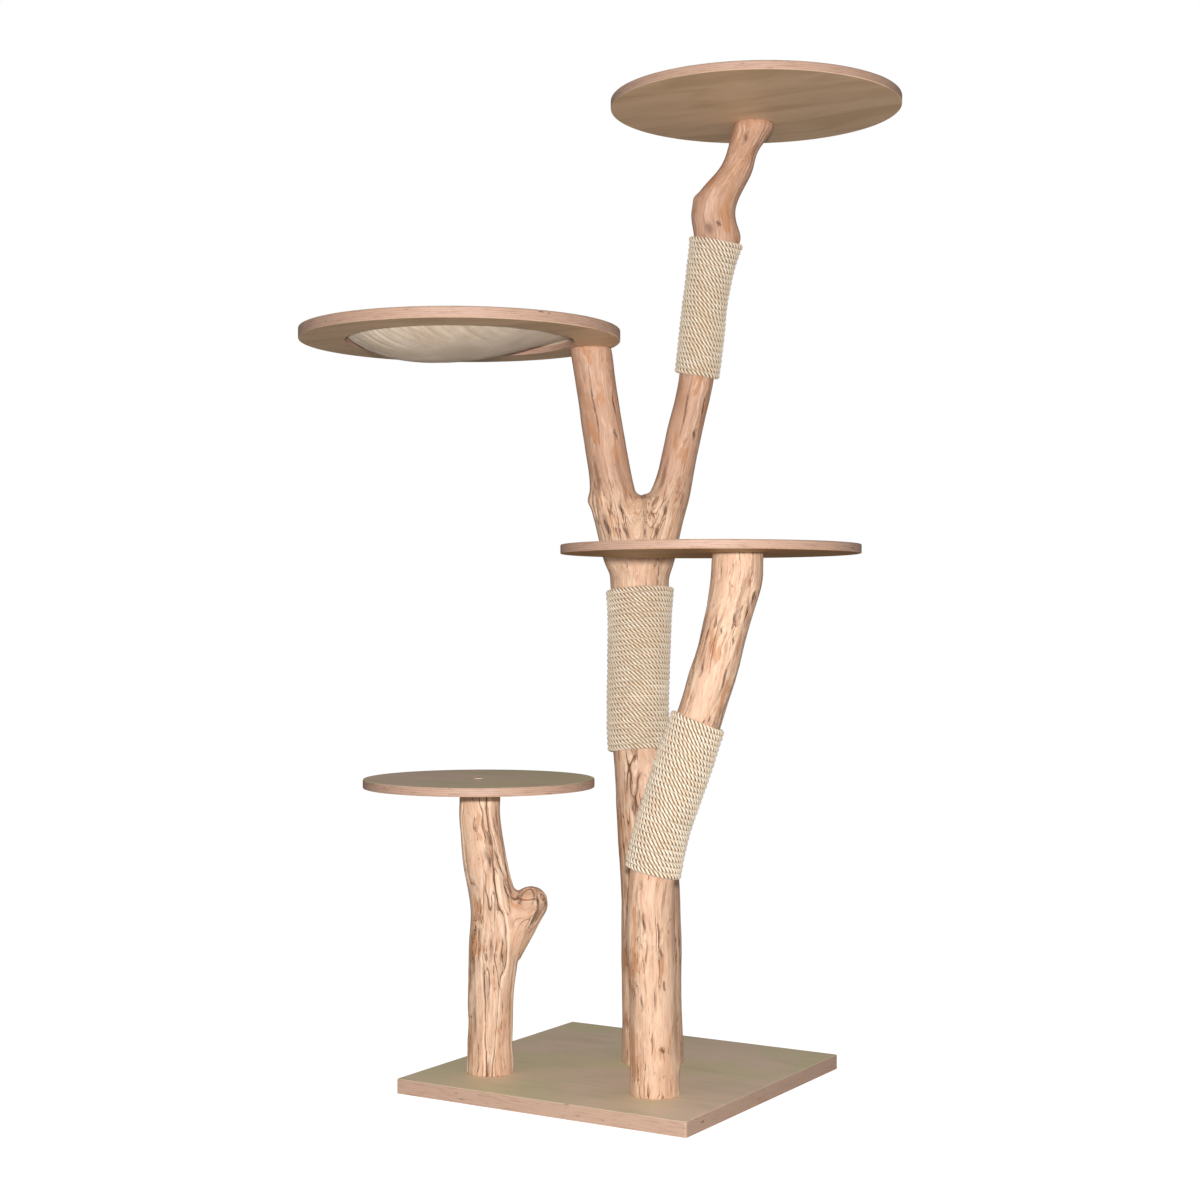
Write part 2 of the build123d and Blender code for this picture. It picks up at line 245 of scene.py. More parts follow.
# How far apart in the noise two seeds lie
SEED_STEP = (7.31, 3.17, 5.93)


def noise_at(points, scale, seed):
    """Smooth noise, about -1 to 1, at points stretched by scale."""
    places = points * np.array(scale) + seed * np.array(SEED_STEP)
    return np.array([noise.noise(Vector(p)) for p in places])


def step(value, low, high):
    """0 below low, 1 above high, and smooth in between."""
    t = np.clip((value - low) / (high - low), 0, 1)
    return t * t * (3 - 2 * t)


# Timber -----------------------------------------------------------------------

SKIN_STEP = 2.8 * MM
CAP_EXCESS = 4 * MM
# Skin this near to a fixing belongs to its screw hole
POCKET_REACH = 0.4 * MM
WELD_REACH = 0.01 * MM
SLICE = 10 * MM
# How far below the crotch the grain starts to turn out of the stem into the branches
FORK_TURN = 160 * MM
# How much nearer one branch has to be for its grain alone to count, in branch radii
FORK_BLEND = 0.35
# The stub's own grain takes over between these distances from the pith, in trunk radii,
# and between these from the stub's tip
STUB_FROM_PITH = (0.7, 2.0)
STUB_FROM_TIP = (0.04, 0.16)
# The knob at the stub's tip is calm, within these distances from a place just above it
KNOB_ABOVE_TIP = 12 * MM
KNOB_REACH = (30 * MM, 48 * MM)
KNOB_CALM = 0.4
FIXINGS = ("base_lag_screws", "base_side_screws", "short_disc_screw", "middle_disc_screw",
           "top_disc_screw", "ring_screw", "rope_nails")
CAMERA_SIDE = math.atan2(-math.cos(CAMERA_AZIMUTH), math.sin(CAMERA_AZIMUTH))


def tree_of(names):
    """A search tree over several CAD nodes."""
    points, faces = [], []
    for name in names:
        mesh = NODES[name].data
        faces += [[i + len(points) for i in p.vertices] for p in mesh.polygons]
        points += [v.co.copy() for v in mesh.vertices]
    return BVHTree.FromPolygons(points, faces)


fixing_tree = tree_of(FIXINGS)


def plain_timber(node):
    """A CAD trunk as one even skin: no screw holes, and a little too long at both ends."""
    bm = bmesh.new()
    bm.from_mesh(NODES[node].data)
    bmesh.ops.remove_doubles(bm, verts=bm.verts, dist=WELD_REACH)
    pocket = [v for v in bm.verts if fixing_tree.find_nearest(v.co, POCKET_REACH)[0] is not None]
    bmesh.ops.delete(bm, geom=pocket, context="VERTS")
    bmesh.ops.holes_fill(bm, edges=[e for e in bm.edges if e.is_boundary], sides=0)
    low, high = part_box(node)
    for v in bm.verts:
        if v.co.z > high.z - 0.1 * MM:
            v.co.z += CAP_EXCESS
        if v.co.z < low.z + 0.1 * MM:
            v.co.z -= CAP_EXCESS
    bmesh.ops.triangulate(bm, faces=bm.faces)
    mesh = bpy.data.meshes.new(node + "_plain")
    bm.to_mesh(mesh)
    bm.free()
    obj = link(node + "_plain", mesh)
    remesh = obj.modifiers.new("remesh", "REMESH")
    remesh.mode = "VOXEL"
    remesh.voxel_size = SKIN_STEP
    skin = evaluated_mesh(obj)
    bpy.data.objects.remove(obj)
    return skin


def follow(points, heights, start, reach):
    """The timber's middle line, followed from slice to slice: height, x, y and radius, lowest first."""
    x, y, radius = *start, reach
    line = []
    for z in heights:
        near = points[np.abs(points[:, 2] - z) < SLICE / 2]
        away = np.hypot(near[:, 0] - x, near[:, 1] - y)
        near = near[away < radius * 1.25 + 4 * MM]
        x, y = near[:, :2].mean(0)
        away = np.hypot(near[:, 0] - x, near[:, 1] - y)
        radius = min(away.mean(), reach)
        line.append((z, x, y, radius))
    return np.array(sorted(line))


def crotch_height(points, toward, high, low):
    """The height where one trunk parts into two, which lie apart in the direction given."""
    for z in np.arange(high, low, -SLICE / 2):
        near = points[np.abs(points[:, 2] - z) < SLICE / 2]
        places = np.sort(near[:, 0] * toward[0] + near[:, 1] * toward[1])
        if np.diff(places).max() < 2 * SKIN_STEP:
            return z


class Pith:
    """The middle line of a length of timber, evened over width slices, with distance along it."""

    def __init__(self, line, width=5):
        self.heights = np.arange(line[0, 0], line[-1, 0], SLICE)
        line = np.array([np.interp(self.heights, line[:, 0], line[:, k]) for k in (1, 2, 3)]).T
        kernel = np.ones(width) / width
        padded = np.pad(line, ((width // 2, width // 2), (0, 0)), mode="edge")
        even = np.array([np.convolve(padded[:, k], kernel, "valid") for k in range(3)]).T
        self.x, self.y, self.radius = even.T
        steps = np.sqrt(np.diff(self.x) ** 2 + np.diff(self.y) ** 2 + np.diff(self.heights) ** 2)
        self.along = np.concatenate([[0], np.cumsum(steps)]) + self.heights[0]

    def offsets(self, points):
        """Where points lie from the line: two level offsets and the distance along it."""
        z = points[:, 2]
        past_end = z - np.clip(z, *self.heights[[0, -1]])
        return np.array([points[:, 0] - np.interp(z, self.heights, self.x),
                         points[:, 1] - np.interp(z, self.heights, self.y),
                         np.interp(z, self.heights, self.along) + past_end]).T

    def at(self, along):
        """The line's points at distances along it."""
        return np.array([np.interp(along, self.along, c) for c in (self.x, self.y, self.heights)]).T

    def along_at(self, height):
        return float(np.interp(height, self.heights, self.along))


def mark_fields(points, grain, radius, marks):
    """How far the marks lift the skin, and the nearest one's distance in mark-widths and darkness."""
    turn = np.arctan2(grain[:, 1], grain[:, 0])
    lift, dark = np.zeros(len(grain)), np.zeros(len(grain))
    nearest = np.full(len(grain), 4.0)
    for kind, height, degrees, width, length, depth in marks:
        side = (turn - CAMERA_SIDE - math.radians(degrees) + math.pi) % (2 * math.pi) - math.pi
        wander = 1.2 * MM * np.sin((points[:, 2] - height * MM) / (length * MM) * 4)
        u = (side * radius + wander) / (width * MM)
        v = (points[:, 2] - height * MM) / (length * MM)
        away = np.sqrt(u * u + v * v)
        if kind == "bump":
            lift += depth * MM * np.exp(-2 * away**2)
        else:
            lift -= depth * MM * np.exp(-3 * away**2)
            lift += 0.45 * depth * MM * np.exp(-(((away - 1.2) / 0.45) ** 2))
            closer = away < nearest
            nearest[closer] = away[closer]
            dark[closer] = MARK_DARKNESS[kind]
    return lift, nearest, dark


def carve(mesh, grain, radius, character, seed):
    """Gives a plain skin its lumps, flutes, grooves, seams and checks, raised in mm, and its marks.

    What the material needs of them is kept with the mesh."""
    points, normals = points_of(mesh), normals_of(mesh)
    bent = grain.copy()
    for axis in (0, 1):
        bent[:, axis] += 8 * MM * noise_at(grain, (9, 9, 7), seed + axis)
        bent[:, axis] += 1.6 * MM * noise_at(grain, (30, 30, 45), seed + 2 + axis)
    lumps = 2.2 * noise_at(grain, (11, 11, 8), seed + 4) + 0.8 * noise_at(grain, (34, 34, 22), seed + 5)
    flutes = noise_at(bent, (75, 75, 5), seed + 6)
    groove = noise_at(bent, (46, 46, 3.4), seed + 7)
    groove_share = step(noise_at(bent, (17, 17, 7), seed + 8), *character["groove_cover"])
    seam = noise_at(bent, (105, 105, 7), seed + 9)
    seam_share = step(noise_at(bent, (24, 24, 12), seed + 10), *character["seam_cover"])
    check = noise_at(bent, (95, 95, 17), seed + 11)
    check_share = step(check, 0.34, 0.56)
    check_share *= step(noise_at(grain, (20, 20, 7), seed + 12), *character["check_cover"])
    lift, nearest, dark = mark_fields(points, grain, radius, character["marks"])
    calm = step(points[:, 2], *character["calm_above"])
    if "stub" in character:
        knob = np.array(character["stub"][1]) + np.array((0, 0, KNOB_ABOVE_TIP))
        calm = KNOB_CALM * (1 - step(np.linalg.norm(points - knob, axis=1), *KNOB_REACH))
    wild = 1 - 0.85 * calm
    groove_share, seam_share, check_share = groove_share * wild, seam_share * wild, check_share * wild
    raised = lumps * 0.8 + flutes * character["flutes"] * wild
    raised -= np.exp(-((groove / 0.09) ** 2)) * groove_share * character["groove_depth"]
    raised += np.exp(-(((np.abs(groove) - 0.2) / 0.1) ** 2)) * groove_share * 0.5
    raised -= np.exp(-((seam / 0.16) ** 2)) * seam_share * 0.7
    raised -= check_share * 1.1
    move_points(mesh, points + normals * (raised * MM + lift)[:, None])
    store(mesh, "grain", bent, "FLOAT_VECTOR")
    store(mesh, "groove", np.array([groove, groove_share, check_share]).T, "FLOAT_VECTOR")
    store(mesh, "seam", np.array([seam, seam_share, 0 * seam]).T, "FLOAT_VECTOR")
    store(mesh, "mark", np.array([nearest, dark, calm]).T, "FLOAT_VECTOR")


def cut_ends(mesh, node):
    """Cuts a carved skin level at the CAD trunk's top and foot, and closes it."""
    low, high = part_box(node)
    bm = bmesh.new()
    bm.from_mesh(mesh)
    for height, up in ((low.z, -1), (high.z, 1)):
        everything = bm.verts[:] + bm.edges[:] + bm.faces[:]
        bmesh.ops.bisect_plane(bm, geom=everything, plane_co=(0, 0, height),
                               plane_no=(0, 0, up), clear_outer=True)
        filled = bmesh.ops.holes_fill(bm, edges=[e for e in bm.edges if e.is_boundary], sides=0)
        for face in filled["faces"]:
            face.smooth = False
    bm.to_mesh(mesh)
    bm.free()


def move_points(mesh, points):
    mesh.vertices.foreach_set("co", points.ravel())
    mesh.update()


def smooth_skin(skin, fillet=None):
    """Takes the stair-steps off a skin, and fills one hollow: a fillet's centre, reach and rounds."""
    edges = edges_of(skin)
    points = smoothed(points_of(skin), edges, np.full(len(skin.vertices), 0.5), 4)
    move_points(skin, points)
    if fillet:
        centre, reach, rounds = fillet
        near = 1 - step(np.linalg.norm(points - np.array(centre), axis=1), 0.4 * reach, reach)
        drawn = smoothed(points, edges, 0.9 * (near > 0), rounds) - points
        outward = np.sum(drawn * normals_of(skin), axis=1) > 0
        points += drawn * (near * outward)[:, None]
        points = smoothed(points, edges, 0.5 * (near > 0), 6)
        move_points(skin, points)
    return points


def timber_piece(name, node, skin):
    """A finished trunk, in place of its CAD node."""
    cut_ends(skin, node)
    obj = link(name, skin)
    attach(obj, "root")
    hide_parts(node)
    return obj


def stub_grain(points, grain, pith, radius, root, tip):
    """Turns the grain out of a trunk and into the stub of a side branch, from root to tip."""
    root, tip = np.array(root), np.array(tip)
    ahead = (tip - root) / np.linalg.norm(tip - root)
    across = np.array((1, 0, 0)) - ahead * ahead[0]
    across /= np.linalg.norm(across)
    frame_of_stub = np.array([across, np.cross(ahead, across), ahead])
    own = (points - root) @ frame_of_stub.T + pith.offsets(root[None])[0]
    share = step(np.hypot(grain[:, 0], grain[:, 1]) / radius, *STUB_FROM_PITH)[:, None]
    share = share * (1 - step(np.linalg.norm(points - tip, axis=1), *STUB_FROM_TIP))[:, None]
    return grain * (1 - share) + own * share


def straight_timber(name, node, plug, character, seed):
    """A trunk with a single middle line, and perhaps the stub of a side branch."""
    skin = plain_timber(node)
    points = smooth_skin(skin, character.get("fillet"))
    low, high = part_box(node)
    start = sum(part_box(plug), Vector()) / 2
    heights = np.arange(high.z - SLICE, low.z + SLICE, -SLICE)
    pith = Pith(follow(points, heights, start[:2], character["reach"] * MM), character["even_over"])
    grain = pith.offsets(points)
    radius = np.interp(points[:, 2], pith.heights, pith.radius)
    if "stub" in character:
        grain = stub_grain(points, grain, pith, radius, *character["stub"])
    set_smooth(skin)
    carve(skin, grain, radius, character, seed)
    return timber_piece(name, node, skin), pith


# Marks: kind, height and degrees round from the camera's side, half-width, half-length and depth in mm
# calm_above: the heights in metres between which the timber grows calm; NOWHERE is above them all
NOWHERE = (3, 4)
MARK_DARKNESS = {"bump": 0, "knot": 0.75, "hole": 1.0, "scar": 0.8, "streak": 0.5}
SHORT_CHARACTER = {
    "reach": 46, "even_over": 17, "calm_above": NOWHERE,
    "flutes": 0.8, "groove_cover": (-0.3, 0.05), "groove_depth": 2.0,
    "seam_cover": (0.0, 0.4), "check_cover": (0.15, 0.45),
    "fillet": (Vector((-0.148, -0.135, 0.325)), 0.075, 40),
    "stub": ((-0.158, -0.14, 0.232), (-0.114, -0.119, 0.314)),
    "marks": [
        ("scar", 338, 38, 3, 22, 2.2), ("scar", 322, 52, 3, 18, 2.2),
        ("scar", 296, 62, 4, 22, 2.2), ("scar", 352, 60, 3, 12, 1.6),
        ("streak", 395, 5, 6, 20, 0.8), ("streak", 215, -50, 6, 26, 0.8),
        ("streak", 120, -42, 5, 40, 0.8), ("streak", 245, 0, 4, 26, 1.0),
    ],
}
FRONT_CHARACTER = {
    "reach": 46, "even_over": 5, "calm_above": NOWHERE,
    "flutes": 0.6, "groove_cover": (0.05, 0.4), "groove_depth": 1.2,
    "seam_cover": (0.1, 0.45), "check_cover": (-0.3, 0.1),
    "marks": [
        ("hole", 857, -11, 2.2, 3, 2.6), ("scar", 838, 50, 4, 13, 2.2),
        ("scar", 803, 12, 3, 17, 2.2), ("scar", 800, -33, 2.5, 15, 1.6),
        ("scar", 784, -12, 2, 8, 1.2), ("scar", 769, 25, 2.5, 9, 1.4),
        ("scar", 725, -35, 3, 19, 2.0), ("scar", 705, 29, 3, 30, 1.6),
        ("scar", 629, 12, 3, 11, 1.6), ("knot", 104, 19, 5, 6, 2.0),
        ("scar", 309, -17, 3, 17, 1.6), ("streak", 372, -30, 4, 9, 1.0),
        ("scar", 262, 24, 2.5, 12, 1.4), ("scar", 180, -30, 2.5, 16, 1.2),
        ("bump", 72, 82, 11, 16, 2.6), ("bump", 240, 78, 16, 30, 1.6),
    ],
}
FORK_CHARACTER = {
    "reach": 60, "calm_above": (0.97, 1.1),
    "flutes": 0.6, "groove_cover": (0.0, 0.35), "groove_depth": 1.4,
    "seam_cover": (-0.05, 0.3), "check_cover": (-0.05, 0.25),
    "marks": [
        ("knot", 1651, -10, 4.5, 13, 1.2), ("scar", 1503, 7, 5, 6, 1.6),
        ("bump", 1482, 82, 18, 24, 4.5), ("bump", 1552, -80, 14, 12, 3.5),
        ("streak", 1495, -20, 8, 12, 0.6), ("scar", 1183, 47, 2.6, 31, 2.2),
        ("scar", 1134, 35, 4, 11, 1.8), ("scar", 1180, -15, 2.2, 66, 1.6),
        ("streak", 1060, -40, 7, 36, 1.5), ("scar", 969, -42, 6, 23, 1.6),
        ("bump", 1017, -85, 13, 18, 5.0), ("scar", 998, 5, 4, 17, 1.8),
        ("scar", 960, 0, 4, 14, 1.5), ("scar", 480, -20, 3, 28, 1.8),
        ("scar", 455, 5, 4, 30, 1.8), ("scar", 1630, 52, 2.0, 60, 1.2),
        ("scar", 1640, 38, 1.6, 50, 0.8),
    ],
}
CROTCH_FILLET = (Vector((-0.036, 0.124, 1.02)), 0.13, 70)


def forked_timber():
    """The stem with its two branches, whose grain parts at the crotch."""
    skin = plain_timber("forked_trunk")
    points = smooth_skin(skin, CROTCH_FILLET)
    low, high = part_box("forked_trunk")
    starts = [sum(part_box(plug), Vector()) / 2 for plug in ("ring_plug", "top_disc_plug")]
    toward = (starts[1] - starts[0]).xy.normalized()
    crotch = crotch_height(points, toward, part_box("hammock_ring")[0].z, low.z)
    foot = points[points[:, 2] < low.z + SLICE].mean(0)
    reach = FORK_CHARACTER["reach"] * MM
    stem = follow(points, np.arange(low.z + SLICE, crotch - FORK_TURN, SLICE), foot[:2], reach)
    lines = []
    for start, shelf in zip(starts, ("hammock_ring", "top_disc")):
        heights = np.arange(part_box(shelf)[0].z - SLICE, crotch + SLICE, -SLICE)
        lines.append(Pith(np.vstack([stem, follow(points, heights, start[:2], reach)])))
    left, right = lines
    grains = [line.offsets(points) for line in lines]
    radii = [np.interp(points[:, 2], line.heights, line.radius) for line in lines]
    nearness = [np.hypot(g[:, 0], g[:, 1]) / r for g, r in zip(grains, radii)]
    right_share = step(nearness[0] - nearness[1], -FORK_BLEND, FORK_BLEND)
    right_share[points[:, 2] > left.heights[-1] + 2 * SLICE] = 1
    grain = grains[0] * (1 - right_share[:, None]) + grains[1] * right_share[:, None]
    radius = radii[0] * (1 - right_share) + radii[1] * right_share
    set_smooth(skin)
    carve(skin, grain, radius, FORK_CHARACTER, 40)
    return timber_piece("forked_timber", "forked_trunk", skin), left, right


short_timber, _ = straight_timber("short_timber", "short_trunk", "short_disc_plug",
                                  SHORT_CHARACTER, 9)
front_timber, front_pith = straight_timber("front_timber", "front_trunk", "middle_disc_plug",
                                           FRONT_CHARACTER, 17)
forked_timber_piece, left_pith, right_pith = forked_timber()


def sound_wood(paint, streak, fine, patch, calm):
    """The colour of whole wood: pale or brown, with light and dark streaks along the grain."""
    pale = paint.mix(paint.ramp(patch, 0.32, 0.68), linear(233, 197, 167), linear(213, 170, 140))
    brown = paint.mix(paint.ramp(patch, 0.35, 0.65), linear(208, 166, 140), linear(192, 146, 116))
    colour = paint.mix(calm, pale, brown)
    colour = paint.over(colour, paint.ramp(streak, 0.47, 0.74, 0, 0.65), 186, 140, 108)
    colour = paint.over(colour, paint.ramp(streak, 0.44, 0.3, 0, 0.6), 246, 220, 194)
    colour = paint.over(colour, paint.ramp(fine, 0.5, 0.72, 0, 0.6), 166, 120, 88)
    return paint.over(colour, paint.ramp(fine, 0.42, 0.3, 0, 0.5), 254, 232, 206)


def scar_share(paint, mark, mark_dark, streak):
    """How much of a knot's or scar's dark rim and core shows."""
    mark = paint.math("ADD", mark, paint.times(paint.math("SUBTRACT", streak, 0.5), 1.6))
    rim = paint.ramp(paint.away(mark, 0.85), 0.3, 0.05)
    core = paint.ramp(mark, 0.8, 0.45)
    return paint.times(paint.math("MAXIMUM", paint.times(rim, 0.5), core), mark_dark)


def timber_paint():
    """Peeled wood, which reads the fields that carve() keeps with each skin."""
    paint = Paint("peeled_timber", {"Roughness": 0.55, "IOR": 1.45})
    grain = paint.attribute("grain").outputs["Vector"]
    groove, groove_share, check = paint.split(paint.attribute("groove").outputs["Vector"])
    seam, seam_share, _ = paint.split(paint.attribute("seam").outputs["Vector"])
    mark, mark_dark, calm = paint.split(paint.attribute("mark").outputs["Vector"])
    fine = paint.noise(paint.stretch(grain, (1, 1, 0.045)), 420, 5, 0.7, 0.3)
    streak = paint.noise(paint.stretch(grain, (1, 1, 0.09)), 130, 5, 0.65, 0.8)
    patch = paint.noise(paint.stretch(grain, (1, 1, 0.4)), 22, 4, 0.6, 0.5)
    wild = paint.math("SUBTRACT", 1, paint.times(calm, 0.75))
    colour = sound_wood(paint, streak, fine, patch, calm)

    # Torn patches of inner bark, and rusty ones
    ragged = paint.times(paint.math("SUBTRACT", streak, 0.5), 0.35)
    inner = paint.noise(paint.stretch(grain, (1, 1, 0.22), (3, 1, 2)), 30, 4, 0.6, 0.8)
    inner = paint.math("ADD", inner, ragged)
    colour = paint.over(colour, paint.ramp(inner, 0.6, 0.66, 0, 0.6), 168, 130, 108)
    warm = paint.noise(paint.stretch(grain, (1, 1, 0.3), (9, 4, 6)), 34, 3, 0.6, 0.6)
    warm = paint.math("ADD", warm, ragged)
    colour = paint.over(colour, paint.ramp(warm, 0.58, 0.65, 0, 0.65), 194, 134, 90)

    # Grooves with pale lips (a painted highlight beside each groove), seams and hair cracks, all broken
    # along their length
    painted_lip_highlight = paint.ramp(paint.away(paint.math("ABSOLUTE", groove), 0.1), 0.05, 0.01)
    colour = paint.over(colour, paint.times(painted_lip_highlight, groove_share, 0.5), 250, 226, 200)
    broken = paint.ramp(streak, 0.38, 0.54, 0.1, 1)
    line = paint.times(paint.ramp(paint.math("ABSOLUTE", groove), 0.03, 0.008), groove_share, broken)
    thin = paint.times(paint.ramp(paint.math("ABSOLUTE", seam), 0.05, 0.015), seam_share, broken, 0.8)
    hair = paint.noise(paint.stretch(grain, (1, 1, 0.05), (2, 8, 3)), 105, 3, 0.55, 0.4)
    hair = paint.ramp(paint.away(hair, 0.5), 0.013, 0.004)
    hair = paint.times(hair, paint.ramp(warm, 0.5, 0.6), wild, broken)
    crack = paint.math("MAXIMUM", paint.math("MAXIMUM", line, thin), hair)
    colour = paint.over(colour, crack, 106, 66, 42)

    # Short dark dashes, torn checks and the marks
    dash = paint.noise(paint.stretch(grain, (1, 1, 0.12), (7, 2, 5)), 210, 3, 0.55, 0.5)
    dash = paint.times(paint.ramp(dash, 0.65, 0.7), paint.ramp(patch, 0.47, 0.58), wild, 0.8)
    colour = paint.over(colour, dash, 116, 78, 54)
    torn = paint.times(paint.ramp(check, 0.15, 0.75), paint.ramp(streak, 0.42, 0.56, 0.1, 0.9))
    colour = paint.over(colour, torn, 142, 90, 56)
    colour = paint.over(colour, scar_share(paint, mark, mark_dark, streak), 88, 54, 34)

    height = paint.math("ADD", paint.times(fine, -0.6), paint.times(streak, -0.9))
    height = paint.math("SUBTRACT", height, dash)
    height = paint.math("SUBTRACT", height, crack)
    rough = paint.ramp(fine, 0.3, 0.8, 0.46, 0.7)
    return paint.finish(Base_Color=colour, Roughness=rough, Normal=paint.bump(height, 1.6 * MM, 0.9))


timber_material = timber_paint()
for piece in (short_timber, front_timber, forked_timber_piece):
    piece.data.materials.append(timber_material)

# Rope -------------------------------------------------------------------------

ROPE_RADIUS = 5.6 * MM
ROPE_SUNK = 1.2 * MM
ROPE_PITCH = 9.3 * MM
ROPE_LAY = 21 * MM
ROPE_WANDER = 0.8 * MM
ROPE_UNEVEN = 0.05
LAY_WANDER = 1.2
STEPS_PER_TURN = 72
SEGMENTS_PER_LAY = 8
STRANDS = 3
# Round one strand from its hollow: the share of the rope's radius, and how hollow it is there, which
# sets the painted shade in the hollows
STRAND_PROFILE = ((0.56, 1.0), (0.87, 0.2), (1.0, 0.0), (0.87, 0.2))
STRAND_APART = 2.4 * MM
# The side of the axis where the turns start, about 120 degrees round from +X
NAIL_SIDE = math.atan2(0.866, -0.5)
SURFACE_TURNS = 36
SURFACE_STEP = 6 * MM
CAST_FROM = 0.13
WRAP_THICKNESS = 9 * MM


class Spool:
    """What a winding goes round: an axis from the CAD winding's box and the pith inside it.

    tilts: how far the turns lean out of square at the low and the high end, in degrees about the
    camera's line of sight. overruns: how far each end lies outside the CAD winding, in mm."""

    def __init__(self, pith, node, tilts, overruns):
        low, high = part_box(node)
        ends = pith.at([pith.along_at(low.z), pith.along_at(high.z)])
        for _ in range(4):
            ahead = Vector(ends[1] - ends[0]).normalized()
            heights = []
            for limit, inward, overrun in ((low.z, 1, overruns[0]), (high.z, -1, overruns[1])):
                radius = float(np.interp(limit, pith.heights, pith.radius)) + WRAP_THICKNESS
                heights.append(limit + inward * (radius * ahead.xy.length - overrun * MM))
            ends = pith.at([pith.along_at(z) for z in heights])
        self.pith = pith
        self.ahead = np.array(ahead)
        self.start = ends[0]
        self.length = float(np.linalg.norm(ends[1] - ends[0]))
        across = np.cross((0, 1, 0), self.ahead)
        across /= np.linalg.norm(across)
        up = np.cross(self.ahead, across)
        self.frames = [np.array([self.tilted(v, tilt) for v in (across, up)]) for tilt in tilts]

    @staticmethod
    def tilted(vector, degrees):
        turned = Vector(vector)
        turned.rotate(Quaternion(VIEW_AHEAD, math.radians(degrees)))
        return np.array(turned)

    def middle(self, along):
        """The pith's points in the planes square to the axis at distances along it."""
        points = self.start + np.outer(along, self.ahead)
        for _ in range(3):
            on_pith = self.pith.at(np.interp(points[:, 2], self.pith.heights, self.pith.along))
            shift = on_pith - points
            points = points + shift - np.outer(shift @ self.ahead, self.ahead)
        return points

    def out(self, along, turn):
        """The directions square to the axis, at distances along it and turns round it."""
        share = np.clip(along / self.length, 0, 1)[:, None]
        across, up = (self.frames[0][k] * (1 - share) + self.frames[1][k] * share for k in (0, 1))
        return across * np.cos(turn)[:, None] + up * np.sin(turn)[:, None]

    def surface(self, tree):
        """How far the timber's surface is from the pith, by step along the axis and by turn."""
        alongs = np.arange(-SURFACE_STEP, self.length + 2 * SURFACE_STEP, SURFACE_STEP)
        turns = np.arange(SURFACE_TURNS) * 2 * math.pi / SURFACE_TURNS
        table = []
        for along, middle in zip(alongs, self.middle(alongs)):
            outs = self.out(np.full(SURFACE_TURNS, along), turns)
            hits = [tree.ray_cast(Vector(middle + out * CAST_FROM), Vector(-out), CAST_FROM)
                    for out in outs]
            table.append([CAST_FROM - hit[3] if hit[0] is not None else np.nan for hit in hits])
        table = np.array(table)
        table = np.where(np.isnan(table), np.nanmedian(table), table)
        for _ in range(2):
            table = (np.roll(table, 1, 1) + 2 * table + np.roll(table, -1, 1)) / 4
            table[1:-1] = (table[:-2] + 2 * table[1:-1] + table[2:]) / 4
        return table


def read_table(table, along, turn):
    """The surface's distance at places between the table's own."""
    rows = along / SURFACE_STEP + 1
    columns = (turn / (2 * math.pi) * SURFACE_TURNS) % SURFACE_TURNS
    row, column = rows.astype(int), columns.astype(int) % SURFACE_TURNS
    part, share = rows - row, columns - columns.astype(int)
    after = (column + 1) % SURFACE_TURNS
    here = table[row, column] * (1 - share) + table[row, after] * share
    above = table[row + 1, column] * (1 - share) + table[row + 1, after] * share
    return here * (1 - part) + above * part


def resampled(values, places, even):
    """Rows of values at places, read again at even places."""
    return np.array([np.interp(even, places, values[:, k]) for k in range(3)]).T


def unit(vectors):
    return vectors / np.linalg.norm(vectors, axis=1)[:, None]


def lay_strands(name, line, out, even, seed):
    """The rope's mesh: three strands twisted round a line, with out as the way to its upper side."""
    ahead = unit(np.gradient(line, axis=0))
    out = unit(out - ahead * np.sum(out * ahead, axis=1)[:, None])
    side = np.cross(ahead, out)
    fat = np.array([noise.noise(Vector((s * 30, seed, 0))) for s in even])
    loose = np.array([noise.noise(Vector((s * 9, seed, 5))) for s in even])
    twist = 2 * math.pi * even / ROPE_LAY + loose * LAY_WANDER
    corners = list(STRAND_PROFILE) * STRANDS
    count, width = len(even), len(corners)
    rings, hollows, strands = [], [], []
    for index, (share, hollow) in enumerate(corners):
        angle = twist + index * 2 * math.pi / width
        reach = ROPE_RADIUS * share * (1 + ROPE_UNEVEN * fat)
        rings.append(line + (np.cos(angle) * reach)[:, None] * out
                     + (np.sin(angle) * reach)[:, None] * side)
        hollows.append(np.full(count, hollow))
        strands.append(np.array([np.full(count, index * STRAND_APART), np.full(count, seed), even]).T)
    faces = []
    for i in range(count - 1):
        a, b = i * width, (i + 1) * width
        faces += [(a + k, a + (k + 1) % width, b + (k + 1) % width, b + k) for k in range(width)]
    faces.append(tuple(range(width))[::-1])
    faces.append(tuple((count - 1) * width + k for k in range(width)))
    mesh = mesh_of(name, np.stack(rings, 1).reshape(-1, 3), faces)
    store(mesh, "hollow", np.stack(hollows, 1).ravel())
    store(mesh, "strand", np.stack(strands, 1).reshape(-1, 3), "FLOAT_VECTOR")
    return mesh


